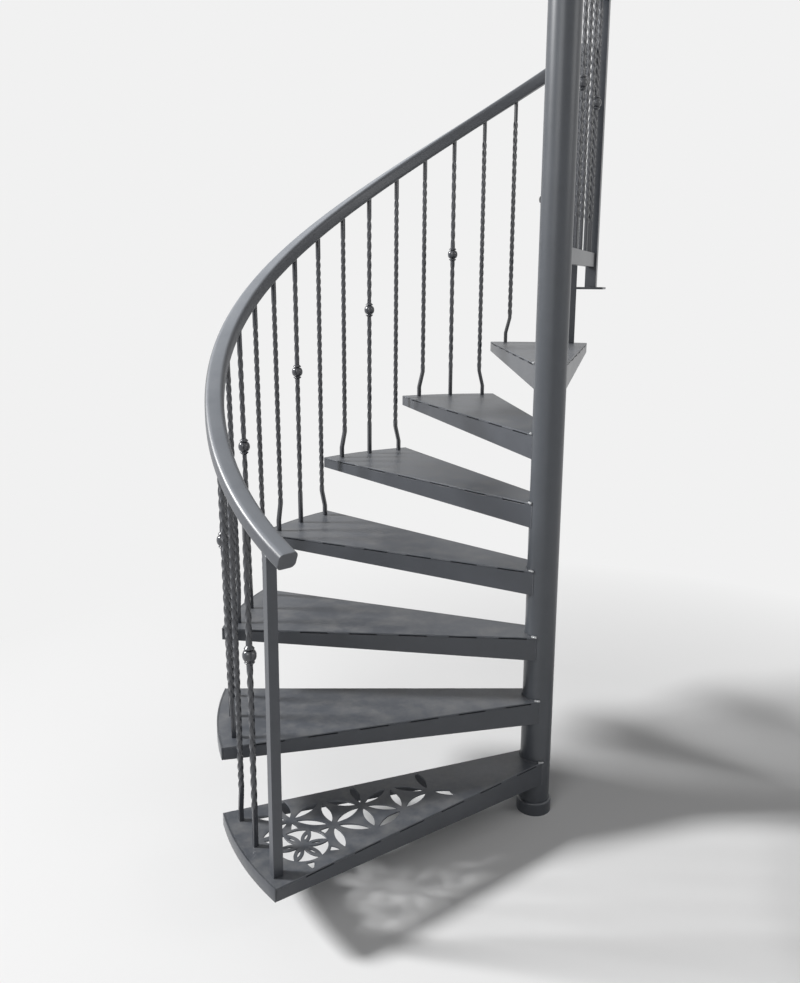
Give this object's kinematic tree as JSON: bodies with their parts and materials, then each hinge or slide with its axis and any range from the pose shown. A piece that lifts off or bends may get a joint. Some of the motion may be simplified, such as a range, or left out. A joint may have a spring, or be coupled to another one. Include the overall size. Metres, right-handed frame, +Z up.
{
  "type": "spiral staircase",
  "caption": "Outdoor steel spiral staircase with a central column, wedge treads, twisted square balusters, a curved handrail and a straight landing guard.",
  "frame": {"origin": "centre of the underside of the column's base, on the ground", "axes": "+Z up along the column; -Y towards the side from which the lowest tread is seen; the treads climb clockwise seen from above"},
  "size_m": [1.2796, 1.651, 2.6103],
  "materials": {
    "steel_paint": "satin",
    "plate_paint": "satin, faintly mottled",
    "column_paint": "semi-gloss"
  },
  "bodies": {
    "root": {"column": "column_paint", "column_foot": "column_paint", "column_cap": "column_paint", "tread_1_plate": "plate_paint", "tread_1_frame": "steel_paint", "tread_1_balusters": "steel_paint", "tread_2_plate": "plate_paint", "tread_2_frame": "steel_paint", "tread_2_balusters": "steel_paint", "tread_3_plate": "plate_paint", "tread_3_frame": "steel_paint", "tread_3_balusters": "steel_paint", "tread_4_plate": "plate_paint", "tread_4_frame": "steel_paint", "tread_4_balusters": "steel_paint", "tread_5_plate": "plate_paint", "tread_5_frame": "steel_paint", "tread_5_balusters": "steel_paint", "tread_6_plate": "plate_paint", "tread_6_frame": "steel_paint", "tread_6_balusters": "steel_paint", "tread_7_plate": "plate_paint", "tread_7_frame": "steel_paint", "tread_7_balusters": "steel_paint", "lower_newel": "steel_paint", "upper_newel": "steel_paint", "handrail": "steel_paint", "handrail_lower_cap": "steel_paint", "handrail_upper_cap": "steel_paint", "guard_bottom_rail": "steel_paint", "guard_top_rail": "steel_paint", "guard_balusters": "steel_paint", "guard_end_post": "steel_paint", "guard_foot_plate": "steel_paint", "guard_leg": "steel_paint"}
  },
  "joints": []
}
